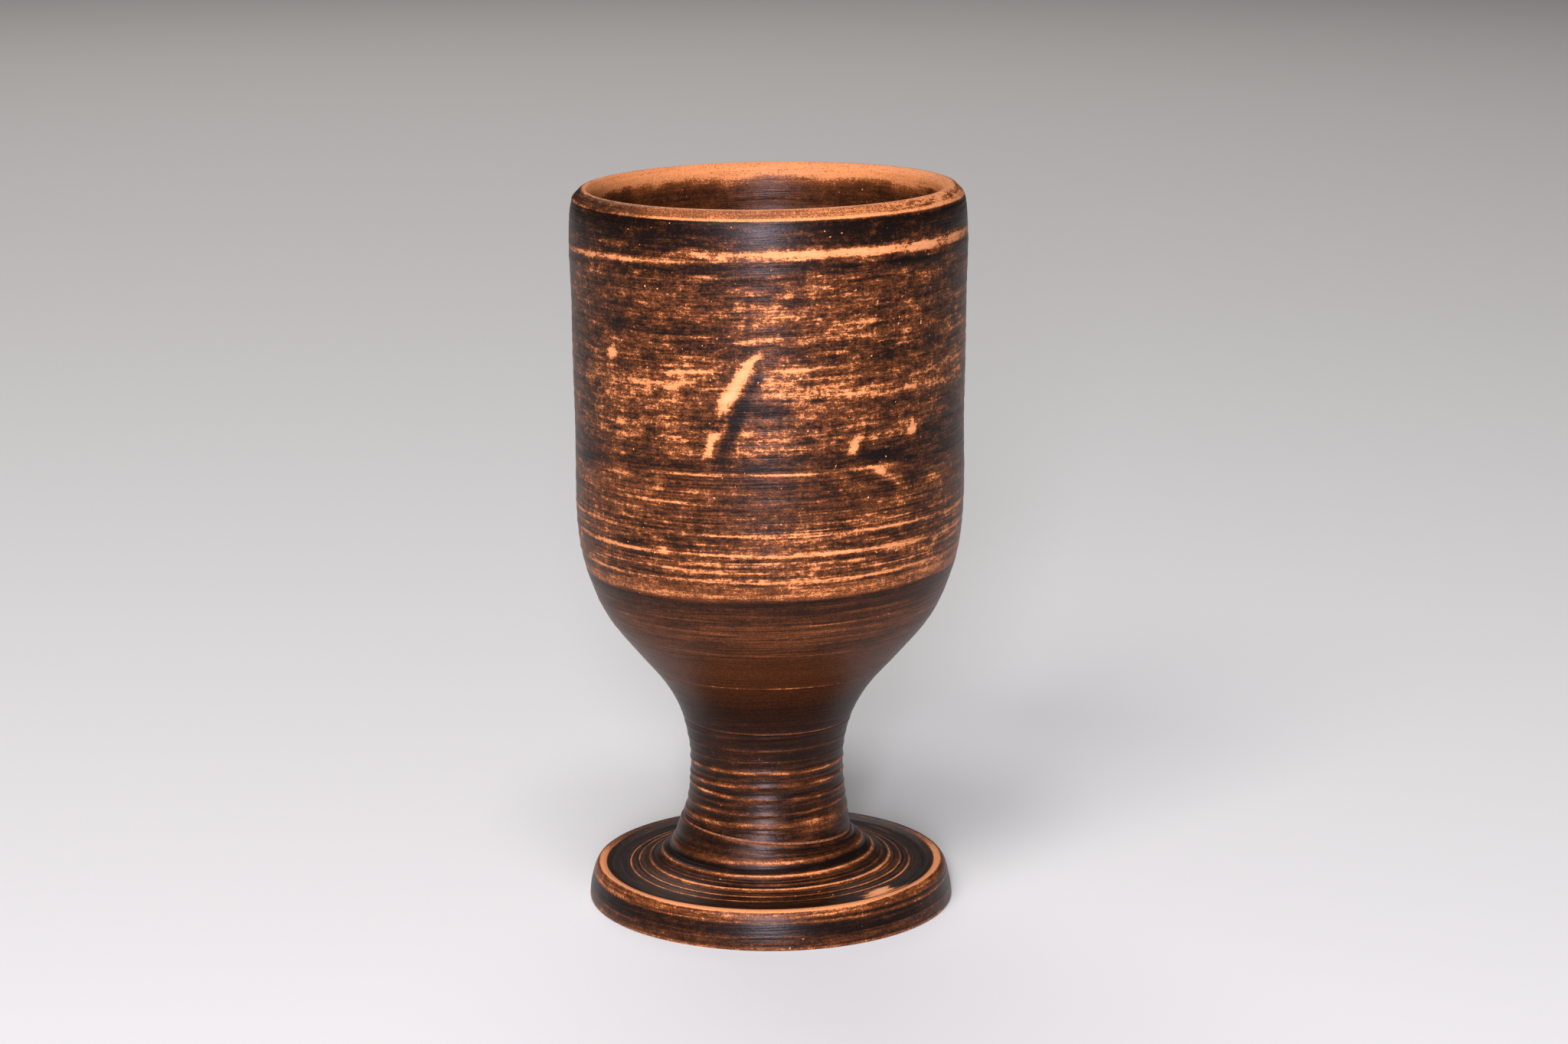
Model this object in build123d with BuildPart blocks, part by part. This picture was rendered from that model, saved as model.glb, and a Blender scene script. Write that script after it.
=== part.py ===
from build123d import *
import os

# Wheel-thrown red-clay goblet. Millimetres, +Z up, origin at the centre of the standing face.
# Bowl, stem and foot are thrown apart and luted together: each joint is a short tenon in a socket
# with a layer of clay slip between, and a coil of soft clay is blended round the joint under the bowl.

os.makedirs("parts", exist_ok=True)

# Outer form: (radius, height) of the points that the turned outline passes through.
height = 150.0
base_radius = 38.2
foot_side_mid = (37.7, 3.9)
foot_side_top = (36.5, 7.4)
edge_ring_crest = (35.4, 7.9)
edge_ring_inside = (34.2, 7.4)
foot_top_inner = (29.3, 7.4)
waist = [
    (25.3, 8.4),
    (22.0, 10.2),
    (19.8, 12.2),
    (17.9, 15.6),
    (16.9, 18.7),
    (16.3, 22.4),
    (15.9, 28.0),
    (16.7, 36.0),
    (19.8, 44.0),
    (26.0, 52.0),
    (32.8, 60.0),
    (37.0, 68.0),
    (39.3, 76.0),
    (39.9, 82.0),
]
wall_bottom = (40.1, 88.0)
wall_top = (40.7, 141.0)
lip_shoulder = (40.3, 146.0)
lip_corner = (39.8, 148.3)
lip_crest_radius = 37.8
lip_inside = (35.4, 147.6)

# Cup hollow: straight down to where the rounded floor begins, then a quarter ellipse to the axis.
cup_radius = 35.4
cup_floor_start = 82.0
cup_floor_depth = 29.5

# Joints: the slip is as thick as the gap that it fills.
slip = 0.5
foot_joint_height = 15.75
bowl_joint_height = 43.0
tenon_length = 3.0
foot_tenon_radius = 13.0
bowl_tenon_radius = 10.5

# Hollow stem, open through the foot.
stem_bore_radius = 10.0
underside_recess_radius = 31.0
underside_recess_height = 3.0
underside_flat_radius = 22.0
underside_throat_height = 12.0

# Coil of clay round the bowl joint: bed in the stem, then a bed sloping up the bowl's underside.
coil_bed_radius = 16.9
coil_bottom = 39.2
coil_bed_top = (24.6, 51.6)
coil_outside_top = (28.6, 47.6)

# Heights and radii that follow from these.
stem_bottom = foot_joint_height + slip
bowl_bottom = bowl_joint_height + slip
foot_socket_radius = foot_tenon_radius + slip
bowl_socket_radius = bowl_tenon_radius + slip
beyond = base_radius + 10.0

# Everything inside the turned outline, with no hollow and no joints.
with BuildPart() as outer_form:
    with BuildSketch(Plane.XZ):
        with BuildLine():
            Line((0, 0), (base_radius, 0))
            ThreePointArc((base_radius, 0), foot_side_mid, foot_side_top)
            ThreePointArc(foot_side_top, edge_ring_crest, edge_ring_inside)
            Line(edge_ring_inside, foot_top_inner)
            Spline(foot_top_inner, *waist, wall_bottom, tangents=((-1, 0), (0, 1)))
            Line(wall_bottom, wall_top)
            Spline(wall_top, lip_shoulder, lip_corner, tangents=((0, 1), (-0.4, 1)))
            Spline(lip_corner, (lip_crest_radius, height), tangents=((-0.6, 1), (-1, 0)))
            Line((lip_crest_radius, height), (0, height))
            Line((0, height), (0, 0))
        make_face()
    revolve(axis=Axis.Z)

# Ring of space that the coil is pressed into, reaching past the outline.
with BuildPart() as coil_space:
    with BuildSketch(Plane.XZ):
        with BuildLine():
            Polyline(
                (coil_bed_radius, coil_bottom),
                (coil_bed_radius, bowl_bottom),
                coil_bed_top,
                coil_outside_top,
                (coil_outside_top[0], coil_bottom),
                close=True,
            )
        make_face()
    revolve(axis=Axis.Z)

# Cup with a rounded lip, a rounded floor and a tenon under it.
with BuildPart() as bowl:
    add(outer_form.part)
    split(bisect_by=Plane.XY.offset(bowl_bottom), keep=Keep.TOP)
    with BuildSketch(Plane.XZ):
        with BuildLine():
            Line((0, cup_floor_start - cup_floor_depth), (0, height))
            Line((0, height), (lip_crest_radius, height))
            Spline((lip_crest_radius, height), lip_inside, tangents=((-1, 0), (0, -1)))
            Line(lip_inside, (cup_radius, cup_floor_start))
            EllipticalCenterArc(
                (0, cup_floor_start), cup_radius, cup_floor_depth, start_angle=270, arc_size=90
            )
        make_face()
    revolve(axis=Axis.Z, mode=Mode.SUBTRACT)
    add(coil_space.part, mode=Mode.SUBTRACT)
    with BuildSketch(Plane.XY.offset(bowl_bottom)):
        Circle(bowl_tenon_radius)
    extrude(amount=-tenon_length)
    fillet(bowl.faces().sort_by(Axis.Z)[0].edges(), radius=0.8)
bowl.part.label = "bowl"
export_step(bowl.part, "parts/bowl.step")

# Hollow waisted tube: a socket for the bowl's tenon at the top, its own tenon at the bottom.
with BuildPart() as stem:
    add(outer_form.part)
    split(bisect_by=Plane.XY.offset(bowl_joint_height), keep=Keep.BOTTOM)
    split(bisect_by=Plane.XY.offset(stem_bottom), keep=Keep.TOP)
    add(coil_space.part, mode=Mode.SUBTRACT)
    with BuildSketch(Plane.XY.offset(stem_bottom)):
        Circle(foot_tenon_radius)
    extrude(amount=-tenon_length)
    with BuildSketch(Plane.XY.offset(stem_bottom - tenon_length)):
        Circle(stem_bore_radius)
    extrude(amount=height, mode=Mode.SUBTRACT)
    with BuildSketch(Plane.XY.offset(bowl_joint_height)):
        Circle(bowl_socket_radius)
    extrude(amount=-tenon_length, mode=Mode.SUBTRACT)
stem.part.label = "stem"
export_step(stem.part, "parts/stem.step")

# Flat disc with an upstanding collar, hollow underneath, standing on a ring near its edge.
with BuildPart() as foot:
    add(outer_form.part)
    split(bisect_by=Plane.XY.offset(foot_joint_height), keep=Keep.BOTTOM)
    with BuildSketch(Plane.XZ):
        with BuildLine():
            Line((0, 0), (underside_recess_radius, 0))
            Line((underside_recess_radius, 0), (underside_recess_radius - 1, underside_recess_height))
            Line(
                (underside_recess_radius - 1, underside_recess_height),
                (underside_flat_radius, underside_recess_height),
            )
            Spline(
                (underside_flat_radius, underside_recess_height),
                (stem_bore_radius, underside_throat_height),
                tangents=((-1, 0), (0, 1)),
            )
            Line((stem_bore_radius, underside_throat_height), (stem_bore_radius, height))
            Line((stem_bore_radius, height), (0, height))
            Line((0, height), (0, 0))
        make_face()
    revolve(axis=Axis.Z, mode=Mode.SUBTRACT)
    with BuildSketch(Plane.XY.offset(foot_joint_height)):
        Circle(foot_socket_radius)
    extrude(amount=-tenon_length, mode=Mode.SUBTRACT)
foot.part.label = "foot"
export_step(foot.part, "parts/foot.step")

# Coil of clay, its outer face flush with the turned outline.
with BuildPart() as joint_coil:
    add(outer_form.part)
    add(coil_space.part, mode=Mode.INTERSECT)
joint_coil.part.label = "joint_coil"
export_step(joint_coil.part, "parts/joint_coil.step")

# Slip under the bowl: a flat ring on the stem's end and a sleeve round the bowl's tenon.
with BuildPart() as upper_slip:
    with BuildSketch(Plane.XY.offset(bowl_joint_height)):
        Circle(coil_bed_radius)
        Circle(bowl_tenon_radius, mode=Mode.SUBTRACT)
    extrude(amount=slip)
    with BuildSketch(Plane.XY.offset(bowl_joint_height)):
        Circle(bowl_socket_radius)
        Circle(bowl_tenon_radius, mode=Mode.SUBTRACT)
    extrude(amount=slip - tenon_length)
upper_slip.part.label = "upper_slip"
export_step(upper_slip.part, "parts/upper_slip.step")

# Slip on the foot's collar: it shows as a fine seam, and has a sleeve round the stem's tenon.
with BuildPart() as lower_slip:
    add(outer_form.part)
    split(bisect_by=Plane.XY.offset(stem_bottom), keep=Keep.BOTTOM)
    split(bisect_by=Plane.XY.offset(foot_joint_height), keep=Keep.TOP)
    with BuildSketch(Plane.XY.offset(foot_joint_height + slip - tenon_length)):
        Circle(foot_socket_radius)
    extrude(amount=tenon_length)
    with BuildSketch(Plane.XY.offset(foot_joint_height - tenon_length)):
        Circle(foot_tenon_radius)
    extrude(amount=2 * tenon_length, mode=Mode.SUBTRACT)
lower_slip.part.label = "lower_slip"
export_step(lower_slip.part, "parts/lower_slip.step")
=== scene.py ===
import math

import bpy
import numpy as np
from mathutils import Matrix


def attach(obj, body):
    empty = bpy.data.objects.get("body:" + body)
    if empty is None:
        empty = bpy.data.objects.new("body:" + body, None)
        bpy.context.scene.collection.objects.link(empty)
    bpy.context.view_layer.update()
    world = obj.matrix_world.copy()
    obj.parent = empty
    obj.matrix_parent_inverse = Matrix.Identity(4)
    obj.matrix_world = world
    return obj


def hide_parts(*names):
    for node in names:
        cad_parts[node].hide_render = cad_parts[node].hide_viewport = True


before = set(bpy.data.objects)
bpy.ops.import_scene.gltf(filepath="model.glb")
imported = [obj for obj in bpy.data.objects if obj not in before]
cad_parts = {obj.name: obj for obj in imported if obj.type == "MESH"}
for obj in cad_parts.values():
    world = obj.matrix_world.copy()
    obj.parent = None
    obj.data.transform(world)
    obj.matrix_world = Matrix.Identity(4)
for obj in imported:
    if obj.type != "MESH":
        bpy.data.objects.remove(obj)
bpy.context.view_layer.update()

# A wheel-thrown red-clay goblet with a dark waxed coat, rubbed through to bright clay on its high
# rings. Lengths are millimetres in the part's own frame, and MM turns them into Blender's metres.
# Angles go round the turning axis from the front (-Y), positive towards the right (+X).
MM = 0.001
COLUMNS = 304  # steps round the axis, which keep the bowl under 200,000 triangles
SHARP_ANGLE = 42  # degrees

# ---------------------------------------------------------------- turned outline
HEIGHT = 150.0
# (radius, height), from the flat of the foot to the corner under the lip.
OUTLINE = [
    (29.5, 7.45), (27.5, 7.9), (25.3, 8.5), (23.5, 9.4), (22.0, 10.4), (20.8, 11.4), (19.8, 12.5),
    (18.9, 13.9), (18.05, 15.4), (17.35, 17.0), (16.95, 18.7), (16.6, 20.5), (16.33, 22.4),
    (16.05, 25.0), (15.87, 28.5), (16.1, 32.5), (16.75, 36.0), (17.9, 40.0), (19.8, 44.0),
    (22.5, 48.0), (26.0, 52.0), (29.5, 56.0), (32.8, 60.0), (35.3, 64.0), (37.0, 68.0),
    (38.35, 72.0), (39.25, 76.0), (39.8, 81.0), (40.05, 88.0), (40.0, 100.0), (40.2, 116.0),
    (40.45, 130.0), (40.7, 140.0), (40.55, 143.5), (40.3, 146.2), (40.05, 147.6),
]

# ---------------------------------------------------------------- unevenness of hand throwing
# How far the axis strays to the right and to the back: (height, distance).
LEAN_ACROSS = [
    (0, 0.45), (7, 0.35), (8.6, 0.2), (10.5, -0.3), (14, -0.45), (22, -0.45), (36, -0.5),
    (50, -0.1), (66, 0.2), (92, 0.4), (120, 0.05), (150, -0.1),
]
LEAN_DEPTH = [(0, 0.0), (20, -0.2), (40, 0.1), (70, 0.3), (100, 0.1), (130, -0.1), (150, 0.0)]
RIM_TILT = 0.014  # rise of the rim for each millimetre to the right
TILT_FROM = 95.0
OVALITY = 0.0035  # share of the radius
OVAL_TURN = 0.6  # radians
OVAL_FULL = 40.0  # height at which the ovalness is full
CUP_SHIFT = -0.4  # the cup's inside stands off the axis of its outside
CUP_SHIFT_RADII = (37.4, 35.6)  # over the lip, where that shift sets in
SAG_FRONT = 0.35  # how far the foot's top hangs behind and to the left
SAG_RIGHT = 0.30
SAG_HEIGHTS = (2.5, 7), (24, 12)
SEAM_RISE = 0.3  # the seam between stem and foot climbs to the left
SEAM_TILT = 1.6
SEAM_REACH = 3.0
SEAM_RADII = (21, 18)

# ---------------------------------------------------------------- how the pieces meet
SLIP = 0.5
FOOT_JOINT = 15.75
BOWL_JOINT = 43.0
TENON = 3.0
FOOT_TENON_RADIUS = 13.0
BOWL_TENON_RADIUS = 10.5
BORE = 10.0
COIL_BED = 16.9
COIL_BOTTOM = 39.2
COIL_TOP = 51.0
COIL_SHOULDER = (24.6, 51.6)
SEAM_DEPTH = 0.12  # how far the slip lies behind the skin

# ---------------------------------------------------------------- cup, lip and foot
# (radius, height)
CUP_RADIUS = 35.4
CUP_FLOOR_START = 82.0
CUP_FLOOR_DEPTH = 29.5
CUP_NARROW = (35.2, 139.0)
CUP_EDGE = (35.3, 147.4)
LIP_CREST = [CUP_EDGE, (35.55, 148.7), (36.3, 149.6), (37.5, 150.1), (38.3, 149.85)]
LIP_CORNER = (39.8, 148.35)
LIP_BASE = 148.0
WALL_TOP = 146.9
COLLAR_TOP = 18.0
EDGE_RING = [
    (29.5, 7.45), (31.5, 7.4), (33.6, 7.4), (34.7, 7.75), (35.6, 7.95), (36.5, 7.45), (37.05, 6.4),
    (37.4, 5.0), (37.65, 3.9), (38.0, 2.0), (38.15, 0.7),
]
# (radius, height, rounding)
STANDING_RING = [
    (38.15, 0.7, 0), (38.2, 0, 0.5), (31.0, 0, 0.7), (30.0, 3.0, 0.6), (22.0, 3.0, 2.0),
]
THROAT = [(22.0, 3.0), (17.0, 4.1), (12.5, 7.2), (10.3, 10.4), (BORE, 12.0)]

# ---------------------------------------------------------------- ridges left by the fingers
# (height, half width, relief, bareness, rise to the right, turn of the rise)
STEM_RIDGES = [
    (18.0, 0.25, 0.12, 0.10, 0.2, 0),
    (19.3, 0.75, 0.20, 0.20, 0.5, 10),
    (21.9, 0.34, 0.14, 0.20, 0.3, -20),
    (23.5, 0.18, 0.05, 0.12, 0.1, 0),
    (24.9, 0.40, 0.16, 0.23, -0.3, 0),
    (25.9, 0.20, -0.06, -0.06, 0.2, 0),
    (27.2, 0.46, 0.20, 0.24, 0.5, 50),
    (28.6, 0.26, 0.05, 0.08, 0.4, 30),
    (30.2, 0.46, 0.20, 0.25, 0.3, 60),
    (32.8, 0.28, 0.10, 0.10, 0.3, 0),
    (35.4, 0.26, 0.10, 0.13, 0.3, 0),
    (38.3, 0.30, 0.08, 0.09, 0.4, 0),
    (41.0, 0.26, 0.05, 0.05, 0.4, 0),
]
BOWL_RIDGES = [
    (60.0, 0.28, 0.02, 0.06, 0.3, 0),
    (63.5, 0.30, 0.02, 0.05, 0.4, 0),
    (65.2, 0.28, 0.03, 0.12, 0.3, 0),
    (66.7, 0.30, 0.03, 0.12, 1.0, 0),
    (69.0, 0.30, 0.02, 0.07, 0.8, 0),
    (76.7, 0.35, 0.05, 0.22, 0.8, 0),
    (78.7, 0.25, 0.04, 0.14, 0.5, 0),
    (80.3, 0.25, 0.03, 0.22, 0.6, 0),
    (82.0, 0.40, 0.05, 0.22, 0.7, 0),
    (84.2, 0.20, 0.02, 0.10, 0.6, 0),
    (86.1, 0.32, 0.05, 0.25, 0.6, 0),
    (88.3, 0.25, 0.03, 0.12, 0.6, 0),
    (90.4, 0.20, 0.02, 0.08, 0.5, 0),
    (92.2, 0.22, 0.03, 0.10, 0.5, 0),
    (94.6, 0.22, 0.02, 0.07, 0.5, 0),
]
# The same on the foot's top, with the radius in place of the height.
FOOT_RIDGES = [
    (18.0, 0.20, 0.06, 0.20, 0.1, 0),
    (18.9, 0.16, 0.05, 0.14, 0.1, 0),
    (19.8, 0.42, 0.22, 0.34, 0.0, 0),
    (20.65, 0.22, -0.12, -0.16, 0.0, 0),
    (22.0, 0.36, 0.20, 0.33, 0.0, 0),
    (23.1, 0.13, 0.05, 0.20, 0.0, 0),
    (23.9, 0.13, 0.05, 0.20, 0.0, 0),
    (25.2, 0.38, 0.24, 0.37, 0.0, 0),
    (25.9, 0.12, 0.05, 0.16, 0.0, 0),
    (26.6, 0.12, 0.03, 0.12, 0.0, 0),
    (27.6, 0.22, 0.16, 0.40, 0.0, 0),
    (28.5, 0.12, 0.03, 0.14, 0.0, 0),
    (29.4, 0.20, 0.14, 0.40, 0.0, 0),
]

# ---------------------------------------------------------------- wear, with some painted shade and light
# How worn the outside is, with painted shade and a painted glow in two places: (height, level,
# mottling, strength of the fine turning lines).
WALL_ZONES = [
    # The dark levels on the stem up to 44 mm are partly painted shade under the bowl's overhang.
    # The lighter levels from 49 to 58 mm under the bowl are partly a painted glow of light bounced
    # up from below.
    (12.0, 0.24, 0.50, 0.70), (22.0, 0.25, 0.50, 0.80), (33.0, 0.23, 0.35, 0.80),
    (38.0, 0.21, 0.20, 0.60), (44.0, 0.23, 0.12, 0.30), (49.0, 0.33, 0.08, 0.10),
    (55.0, 0.375, 0.08, 0.15), (58.0, 0.36, 0.12, 0.35), (60.0, 0.36, 0.20, 0.70),
    (64.0, 0.35, 0.25, 1.00), (68.0, 0.32, 0.30, 1.00), (72.3, 0.25, 0.30, 0.60),
    (73.0, 0.52, 0.40, 0.50), (75.0, 0.51, 0.50, 0.60), (76.0, 0.39, 0.80, 1.00),
    (83.0, 0.38, 0.85, 1.00), (88.0, 0.38, 0.85, 1.00), (91.0, 0.38, 0.75, 0.90),
    (96.5, 0.37, 0.75, 0.80), (98.0, 0.34, 0.70, 0.70), (99.2, 0.27, 0.80, 0.60),
    (101.0, 0.33, 0.95, 0.40), (105.0, 0.40, 1.00, 0.35), (109.0, 0.38, 1.00, 0.35),
    (111.5, 0.35, 1.00, 0.35), (115.0, 0.42, 1.00, 0.35), (121.0, 0.38, 1.00, 0.35),
    (127.0, 0.37, 1.00, 0.35), (134.0, 0.35, 1.00, 0.35), (137.0, 0.33, 1.00, 0.35),
    (139.2, 0.25, 0.90, 0.30), (141.0, 0.33, 1.00, 0.30), (143.0, 0.23, 1.00, 0.30),
    (144.0, 0.19, 1.00, 0.25), (147.9, 0.17, 0.95, 0.20), (148.2, 0.40, 0.30, 0.10),
    (149.0, 0.50, 0.30, 0.10),
]

# Rubs and dabs on the bowl: (angle in degrees, height, half length, half width, tilt in degrees,
# strength). A negative strength leaves the coat darker.
RUBS = [
    (-49, 139.3, 23, 0.70, 2.2, 0.42), (36, 141.8, 42, 1.15, 0.2, 0.46),
    (-45, 142.5, 9, 0.5, 0, 0.10), (-23, 141.6, 6, 0.8, 4, 0.12), (-52, 132.4, 7, 0.9, 3, 0.10),
    (-33, 132.7, 12, 1.5, 2, 0.05), (-17, 137.3, 3, 0.5, 2, 0.20),
    (-38.5, 136.9, 1.1, 0.7, 0, 0.22), (3, 137.7, 4.5, 0.5, 2, 0.16),
    (13, 137.8, 1.6, 0.5, 5, 0.18), (13, 135.5, 3, 0.4, 2, 0.12), (29, 135.6, 3, 0.5, 3, 0.16),
    (42, 136.5, 1.5, 0.6, -50, 0.20), (-4, 134.2, 1.6, 0.8, 10, 0.16),
    (2, 131.8, 1.3, 0.8, 0, 0.18), (4, 133.7, 2, 0.5, 4, 0.16), (-13, 129.8, 6, 0.9, 12, 0.14),
    (-6, 131.6, 3, 0.8, 8, 0.12), (-20, 125.4, 6, 0.6, 3, 0.16), (-33, 124.5, 4, 0.5, 2, 0.10),
    (-3, 125.0, 4, 0.7, 2, 0.18), (10, 125.3, 12, 0.5, 2, 0.12), (25, 127.0, 7, 1.3, 3, 0.06),
    (30, 128.0, 2.5, 0.8, 5, 0.12), (42, 125.8, 1.7, 0.6, 8, 0.22),
    (41, 123.4, 1.6, 0.6, 40, 0.18), (37, 122.9, 3, 0.4, 2, 0.12), (19, 122.6, 2.2, 0.5, 0, 0.12),
    (58, 123.7, 3, 0.7, -5, 0.12), (64, 126.0, 2.5, 0.4, 10, 0.10),
    (-22, 121.3, 3.5, 0.5, 2, 0.16), (-38, 121.3, 2, 0.5, 4, 0.12),
    (-50, 120.2, 1.5, 1.3, 30, 0.44), (-28, 118.0, 12, 0.6, 2, 0.14),
    (-17, 118.9, 3.2, 0.5, 9, 0.20), (-58, 115.4, 5, 0.6, 2, 0.14), (-36, 115.6, 4, 0.6, 2, 0.18),
    (-25, 115.8, 3.6, 0.5, 16, 0.18), (-38, 113.5, 3, 0.8, 4, 0.14),
    (-28, 113.7, 2.2, 0.5, 12, 0.16), (3, 119.0, 4, 0.45, 2, 0.18), (13, 119.4, 5.5, 0.5, 3, 0.20),
    (25, 119.9, 5, 0.35, 3, 0.12), (2, 116.6, 3, 0.35, 0, 0.18), (-1, 114.0, 4.2, 0.8, 3, 0.20),
    (9, 114.3, 5, 0.8, 3, 0.20), (20, 114.0, 5, 0.6, 2, 0.14), (28, 114.1, 5, 1.0, 0, 0.16),
    (44, 114.0, 2.4, 0.9, 5, 0.20), (37, 113.4, 2, 0.6, 0, 0.12), (55, 114.5, 4, 0.8, 0, 0.08),
    (-3.6, 121.6, 2.3, 0.75, 45, 0.40), (-8.4, 116.6, 4.8, 1.3, 62, 0.50),
    (-12.3, 112.2, 2.5, 1.5, 72, 0.32), (-13, 107.0, 2.2, 0.8, 45, 0.24),
    (-16.5, 104.5, 2.8, 0.9, 78, 0.34), (-18.3, 101.6, 1.1, 0.5, 45, 0.26),
    (-6.5, 112.6, 6.5, 1.2, 64, -0.30), (-11.5, 104.5, 5.0, 1.4, 62, -0.22),
    (-2, 110.5, 4, 1.0, 0, -0.12), (-45, 104.1, 3.6, 0.55, 2, 0.20), (-43, 107.0, 4, 1.6, 0, 0.06),
    (-27, 107.5, 2.6, 0.6, 0, 0.12), (-27, 104.3, 3, 0.5, 5, 0.12),
    (-29, 102.0, 2.6, 0.6, 0, 0.15), (-23, 102.0, 2.5, 0.5, 0, 0.14),
    (-7, 106.7, 2.2, 0.9, 3, 0.14), (-7, 103.0, 1.5, 0.6, 0, 0.16), (3, 103.4, 5.5, 0.35, 2, 0.16),
    (9, 107.5, 3, 0.9, 8, 0.12), (13, 106.0, 2.0, 0.7, 0, 0.12), (24.5, 103.2, 1.9, 1.2, 70, 0.44),
    (27, 106.6, 2.0, 1.0, 80, 0.16), (13, 103.3, 2, 0.4, 0, 0.14), (45, 105.2, 1.3, 1.0, 0, 0.46),
    (44.8, 106.7, 0.9, 0.45, 90, 0.26), (35, 105.2, 6, 0.3, 1, 0.16),
    (30, 145.0, 2, 0.7, 50, 0.14), (0, 98.4, 23, 0.26, 1.4, 0.36), (36, 97.2, 4, 0.6, -20, 0.20),
    (39.5, 94.3, 2.6, 0.8, 90, 0.10), (-33, 96.0, 1.9, 1.2, 90, 0.12),
    (-45, 96.0, 7, 1.1, 0, 0.07), (57, 96.3, 5, 0.6, -3, 0.20), (56, 93.6, 3.5, 1.8, 0, 0.10),
    (-17, 92.8, 1.5, 0.9, 0, 0.10), (-4, 92.3, 6, 0.28, 0, 0.14), (-22, 94.3, 3, 0.4, 3, 0.12),
    (20, 95.0, 0.4, 0.4, 0, 0.30), (-32, 82.0, 1.2, 0.8, 0, 0.26), (-33, 84.3, 1.6, 0.4, 0, 0.14),
    (-55, 84.3, 1.0, 0.8, 0, 0.14), (28, 82.4, 17, 0.5, 1, 0.14), (-42, 81.5, 11, 0.32, 2, 0.16),
    (-48, 78.7, 8, 0.35, 3, 0.16), (-17, 78.3, 11, 1.6, 0, 0.06), (35, 77.0, 20, 0.40, 2, 0.16),
    (35, 88.6, 9, 0.9, 0, 0.07), (36.5, 96.2, 5.0, 0.75, -32, 0.20), (33, 98.7, 3.6, 0.4, 0, 0.18),
    (35, 101.3, 6, 1.5, 0, -0.22), (46, 111.6, 8, 1.0, 0, -0.14), (-36, 104.5, 4, 1.2, 85, -0.12),
    (-57, 112.5, 3, 2.0, 0, -0.10), (46, 139.0, 13, 0.8, 0, -0.12), (-20, 138.8, 6, 0.5, 2, -0.12),
    (0, 139.6, 8, 0.8, 2, -0.10), (62, 104.0, 7, 5.0, 0, -0.06), (60, 132.0, 7, 4.0, 0, -0.06),
    (-68, 122.0, 5, 9.0, 0, -0.05), (42, 96.0, 3, 1.6, 0, -0.08), (-42, 129, 14, 6.0, 0, -0.05),
    (-42, 113.5, 14, 5.0, 0, 0.09), (-36, 106.0, 12, 3.5, 0, 0.06), (12, 131, 13, 5.5, 0, 0.05),
    (30, 122, 12, 2.0, 0, -0.04),
]

# The same on the foot's top, with the radius in place of the height.
FOOT_RUBS = [
    (41, 33.2, 2.8, 1.9, 4, 0.48), (45.5, 31.9, 2.8, 1.1, 7, 0.46), (49, 30.9, 2.2, 0.4, 4, 0.46),
    (37.5, 31.9, 1.6, 0.30, 8, 0.34), (38.5, 32.9, 2.0, 0.25, 4, 0.40),
    (46, 31.4, 2.6, 0.34, 3, 0.56), (48, 32.5, 3.6, 0.36, 2, 0.56), (51, 33.7, 4.0, 0.45, 2, 0.60),
    (43, 30.5, 2.6, 0.16, 2, 0.30), (-30, 34.2, 3.0, 0.25, 4, 0.20),
    (-60, 31.0, 2.0, 0.25, 0, 0.16), (15, 30.4, 3.0, 0.25, 2, 0.18),
    (130, 31.5, 4.0, 0.7, 5, 0.34), (205, 33.0, 5.0, 0.8, -5, 0.34),
    (-20, 31.9, 1.6, 0.14, 12, 0.22), (5, 32.6, 1.8, 0.14, -10, 0.22),
    (24, 32.0, 1.4, 0.14, 14, 0.22), (-44, 32.8, 1.8, 0.14, -8, 0.20),
]

# Lines on the foot's side: (height, half width, bareness).
SIDE_LINES = [
    (5.7, 0.38, 0.34), (6.9, 0.16, 0.08), (4.3, 0.15, 0.06), (2.9, 0.14, 0.16), (0.5, 0.25, 0.14),
]

# Rubs on the far side of the bowl, most lying along the turning lines and a few steep.
BACK_COUNT = 110
BACK_SEED = 8
BACK_ANGLES = (72, 288)
BACK_HEIGHTS = (77, 138)
STEEP_SHARE = 0.16
STEEP_STRENGTH = 0.24
FLAT_STRENGTHS = [0.18, 0.14, 0.10, -0.10]
BACK_BANDS = [
    (150, 141.2, 45, 0.9, -1.0, 0.26), (232, 139.4, 34, 0.7, -1.2, 0.28),
    (180, 98.0, 40, 0.3, -1.0, 0.20),
]

# Inside of the cup.
FINGER_RISE = 5.2  # height of one turn of the finger's spiral
FINGER_RELIEF = 0.16
FINGER_HEIGHTS = (146, 136)
FINGER_RADII = (8, 20)
BARE_EDGE = 146.7  # how far down the bare clay reaches
BARE_LEVEL = 0.29
INSIDE_LEVEL = 0.35

# Unevenness of the outside: relief, and the heights over which it sets in.
FINE_RELIEF = 0.03
FINE_HEIGHTS = (52, 60)
FINE_CLIMB = 0.03
SLOW_RELIEF = 0.10
SLOW_HEIGHTS = (14, 24)
FOOT_RELIEF = 0.02
BANDS_TILT_HEIGHTS = (58, 70), (104, 92)
RUBS_HEIGHTS = (56, 60)

# Foot and lip: radii of the bright edge ring, and levels on the scale of WORN_COLOURS.
RING_INSIDE = (34.3, 34.6)
RING_OUTSIDE = (35.85, 36.05)
RING_LEVEL = 0.69
COLLAR_LEVEL = 0.19
RINGED_RADII = (21.5, 22.5), (30.2, 29.4)
SIDE_LEVEL = 0.17
SIDE_TOP = (6.0, 6.5)
SIDE_BOTTOM = (3.0, 2.4)
LIP_LEVEL = 0.62
LIP_FACE_RADII = (37.4, 38.3)
# Radii of the lip's bright lower line: partly a worn edge, partly a painted highlight.
LIP_BRINK_RADII = (39.5, 39.7)
HIDDEN_MARKS = (0.5, 0.5, 0.3)
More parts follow.
